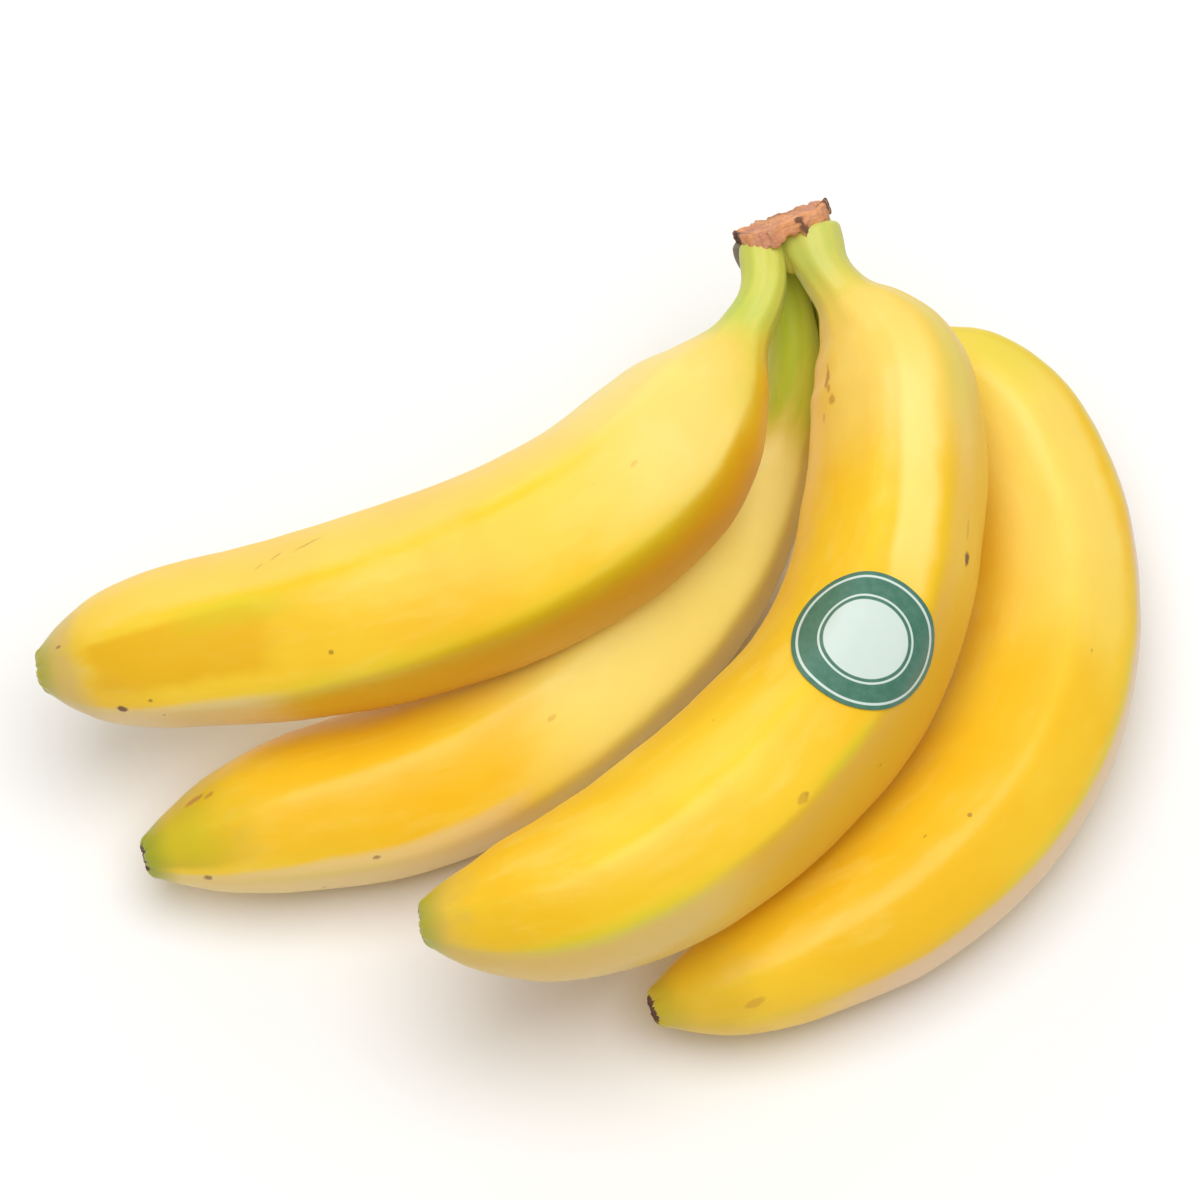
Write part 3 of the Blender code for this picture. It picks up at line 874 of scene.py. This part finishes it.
def addCrownFlesh():
    # the living cushion under the cut, grown a little so that it meets the stalks
    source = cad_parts["crown"]
    piece = source.copy()
    piece.data = source.data.copy()
    piece.name = "crown_flesh"
    bpy.context.scene.collection.objects.link(piece)
    pickOnly(piece)
    piece.parent = None
    piece.data.materials.clear()
    bpy.ops.object.mode_set(mode="EDIT")
    bpy.ops.mesh.select_all(action="SELECT")
    bpy.ops.mesh.remove_doubles(threshold=0.01 * mm)
    bpy.ops.mesh.normals_make_consistent(inside=False)
    bpy.ops.object.mode_set(mode="OBJECT")
    grid = piece.modifiers.new("Grid", "REMESH")
    grid.mode = "VOXEL"
    grid.voxel_size = crown["fleshGrid"] * mm
    soften = piece.modifiers.new("Soften", "SMOOTH")
    soften.iterations = 14
    grow = piece.modifiers.new("Grow", "DISPLACE")
    grow.strength = crown["fleshGrowth"] * mm
    grow.mid_level = 0
    applyAll(piece)
    # the top stays under the cut, and the web between the front stalks stands back
    along, across, up = (np.array(axis) for axis in crownAxes())
    places = readPlaces(piece.data)
    fromCentre = (places - crownCentre()) / mm
    height = fromCentre @ up
    depth = fromCentre @ across
    top, topShare = crown["fleshTop"]
    front, frontShare = crown["webSetback"]
    lower = np.where(height > top, (height - top) * topShare, 0)
    back = np.where(depth < front, (front - depth) * frontShare, 0)
    storeValue(piece.data, "side", fromCentre @ along)
    writePlaces(piece.data, places - lower[:, None] * mm * up + back[:, None] * mm * across)
    bpy.ops.object.shade_smooth()
    piece.data.materials.append(crownFleshMaterial())
    return piece


def crownFleshMaterial():
    recipe = Recipe("crownFlesh")
    grain = recipe.node("ShaderNodeTexCoord", None, None, 3)
    drawnOut = recipe.vectorMaths("MULTIPLY", grain, (1.0, 0.4, 0.4))
    patches = recipe.noise(grain, 120, 4, 0.6)
    fibres = recipe.noise(drawnOut, 700, 3, 0.6)
    colour = recipe.mix(
        recipe.band(patches, 0.35, 0.65), crownColours["fleshGreen"], crownColours["fleshOlive"])
    colour = recipe.mix(recipe.band(fibres, 0.55, 0.8) * 0.5, colour, crownColours["fleshFibre"])
    # the left end has dried with the cut
    side = recipe.attribute("side", 2) + (patches - 0.5) * 4.0
    colour = recipe.mix(recipe.under(side, -9.5, -7.0) * 0.9, colour, crownColours["fleshDried"])
    bump = recipe.bump(0.4, 0.3 * mm, fibres + patches)
    recipe.surface(Base_Color=colour, Roughness=0.5 + (patches - 0.5) * 0.2, Normal=bump)
    return recipe.material


for piece in (addCrownCut(), addCrownFlesh()):
    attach(piece, "root")
    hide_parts("crown")
print("crown done")


# The floor, the lights and the camera. Places and sizes are in metres.
studio = {
    "floorSize": 8,
    "floorColour": (0.92, 0.92, 0.92),
    "skyStrength": 0.38,
    "keyPlace": (0.04, -0.12, 0.95),
    "keySize": 0.95,
    "keyEnergy": 7.8,
    "backPlace": (-0.25, 0.95, 0.50),
    "backSize": 0.9,
    "backEnergy": 2.6,
    "aimHeight": 0.03,
    "cameraDistance": 1.0,
    "cameraElevation": 60,
    "lens": 150,
}


# The plain round label on the upper front fruit.
label = {
    "centreShare": 0.50,
    "direction": 12,
    "radius": 14.7,
    "seenHeight": 0.92,        # of its width, as the camera sees it
    "seenShare": 0.5,          # 0 is round on the skin, 1 is round to the camera
    "bendRadius": 86,          # of the fruit's middle where the label lies
    "fruitRadius": 20,         # of the fruit itself there
    "lift": 0.22,
    "thickness": 0.13,
    "rings": 26,
    "spokes": 96,
    # the print, from and to as shares of the radius
    "middleEdge": (0.565, 0.58),
    "thinLine": (0.615, 0.625, 0.645, 0.655),
    "outerLine": (0.90, 0.91, 0.935, 0.945),
    "green": (0.048, 0.165, 0.105),
    "wornGreen": (0.10, 0.24, 0.18),
    "pale": (0.62, 0.72, 0.66),
    "dust": (0.30, 0.40, 0.33),
}


def layLabel(piece, flat):
    # distances round and along the fruit are measured on the skin
    guide, length = guides["banana_upper_front"]
    fruit = bananaUpperFront
    fan = np.linspace(-110, 110, 441)
    section = skinPoints(fruit, length, np.full(fan.shape, label["centreShare"]), fan + label["direction"])
    walked = np.concatenate([[0], np.cumsum(np.hypot(*np.diff(section[:, :2], axis=0).T))]) / mm
    walked = walked - np.interp(0, fan, walked)
    around = np.interp(flat[:, 0] * label["radius"], walked, fan)
    outwards = np.sin(np.radians(around + label["direction"])) * label["fruitRadius"] / label["bendRadius"]
    shares = label["centreShare"] + flat[:, 1] * label["radius"] * mm / length / (1 + outwards)
    lift = label["lift"] + label["thickness"]
    writePlaces(piece.data, skinPoints(fruit, length, shares, label["direction"] + around, lift))
    bendAlong(piece, guide)
    return readPlaces(piece.data)


def addLabel():
    deselectAll()
    bpy.ops.mesh.primitive_circle_add(vertices=label["spokes"], radius=1, location=(0, 0, 0))
    piece = bpy.context.object
    piece.name = "label_film"
    bpy.ops.object.mode_set(mode="EDIT")
    bpy.ops.mesh.select_all(action="SELECT")
    size = 1
    for ring in reversed(range(1, label["rings"])):
        scale = ring / label["rings"] / size
        bpy.ops.mesh.extrude_region_move()
        bpy.ops.transform.resize(value=(scale, scale, 1), center_override=(0, 0, 0))
        size = ring / label["rings"]
    bpy.ops.mesh.edge_face_add()
    bpy.ops.mesh.poke()
    bpy.ops.mesh.select_all(action="SELECT")
    bpy.ops.mesh.normals_make_consistent(inside=False)
    bpy.ops.object.mode_set(mode="OBJECT")
    flat = readPlaces(piece.data)
    storeValue(piece.data, "flat", flat)
    # the film is slid about on the skin until the camera sees it rounder
    rise = math.radians(studio["cameraElevation"])
    view = np.array(((1, 0), (0, math.sin(rise)), (0, math.cos(rise)))) / mm
    middle = np.hypot(flat[:, 0], flat[:, 1]).argmin()
    slid = flat.copy()
    laid = layLabel(piece, slid) @ view
    laid = laid - laid[middle]
    slope = np.linalg.lstsq(flat[:, :2], laid, rcond=None)[0]
    # the print keeps its own up, which is along the fruit
    spun, _, turned = np.linalg.svd(slope)
    wanted = flat[:, :2] @ (spun @ turned) * label["radius"] * (1, label["seenHeight"])
    wanted = laid + (wanted - laid) * label["seenShare"]
    for attempt in range(6):
        slid[:, :2] += (wanted - laid) @ np.linalg.inv(slope)
        laid = layLabel(piece, slid) @ view
        laid = laid - laid[middle]
    print("label off round by", round(float(np.abs(wanted - laid).max()), 2), "mm")
    addDents(piece, bananaUpperFront)
    film = piece.modifiers.new("Film", "SOLIDIFY")
    film.thickness = label["thickness"] * mm
    film.offset = -1
    applyAll(piece)
    bpy.ops.object.shade_smooth_by_angle(angle=math.radians(40))
    piece.data.materials.append(labelMaterial())
    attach(piece, "root")
    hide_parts("label")


def labelMaterial():
    recipe = Recipe("labelFilm")
    flat = recipe.attribute("flat", 1)
    reach = recipe.vectorMaths("LENGTH", flat, output=1)
    wear = recipe.noise(flat, 9, 4, 0.6)
    fineWear = recipe.noise(flat, 60, 3, 0.6)
    pale = recipe.under(reach, *label["middleEdge"])
    for line in ("thinLine", "outerLine"):
        start, full, ebb, end = label[line]
        pale = recipe.maths("MAXIMUM", pale, recipe.band(reach, start, full) * recipe.under(reach, ebb, end))
    green = recipe.mix(recipe.band(wear, 0.35, 0.7) * 0.4, label["green"], label["wornGreen"])
    colour = recipe.mix(pale, green, label["pale"])
    colour = recipe.mix(recipe.band(fineWear, 0.55, 0.8) * 0.12, colour, label["dust"])
    bump = recipe.bump(0.15, 0.1 * mm, fineWear + wear)
    recipe.surface(Base_Color=colour, Roughness=0.38 + (wear - 0.5) * 0.2, Normal=bump)
    return recipe.material


addLabel()
for guide, length in guides.values():
    bpy.data.objects.remove(guide)
print("label done")


def addFloor():
    deselectAll()
    bpy.ops.mesh.primitive_plane_add(size=studio["floorSize"], location=(0, 0, 0))
    floor = bpy.context.object
    floor.name = "floor"
    recipe = Recipe("paleTable")
    recipe.surface(Base_Color=studio["floorColour"], Roughness=0.7)
    floor.data.materials.append(recipe.material)


def addAreaLight(name, place, size, energy):
    light = bpy.data.lights.new(name, "AREA")
    light.shape = "DISK"
    light.size = size
    light.energy = energy
    lamp = bpy.data.objects.new(name, light)
    bpy.context.scene.collection.objects.link(lamp)
    lamp.location = place
    aim = Vector((0, 0, studio["aimHeight"])) - Vector(place)
    lamp.rotation_euler = aim.to_track_quat("-Z", "Y").to_euler()


def addCamera():
    camera = bpy.data.cameras.new("camera")
    camera.lens = studio["lens"]
    eye = bpy.data.objects.new("camera", camera)
    bpy.context.scene.collection.objects.link(eye)
    rise = math.radians(studio["cameraElevation"])
    middle = (Vector((0, 0, 30)) - tablePoint) * mm
    eye.location = middle + Vector((0, -math.cos(rise), math.sin(rise))) * studio["cameraDistance"]
    eye.rotation_euler = (math.pi / 2 - rise, 0, 0)
    bpy.context.scene.camera = eye


addFloor()
addAreaLight("keyLight", studio["keyPlace"], studio["keySize"], studio["keyEnergy"])
addAreaLight("backLight", studio["backPlace"], studio["backSize"], studio["backEnergy"])
addCamera()
world = bpy.data.worlds.new("studioSky")
world.use_nodes = True
world.node_tree.nodes["Background"].inputs["Color"].default_value = (1, 1, 1, 1)
world.node_tree.nodes["Background"].inputs["Strength"].default_value = studio["skyStrength"]
bpy.context.scene.world = world
bpy.context.scene.view_settings.view_transform = "Standard"
print("studio set")
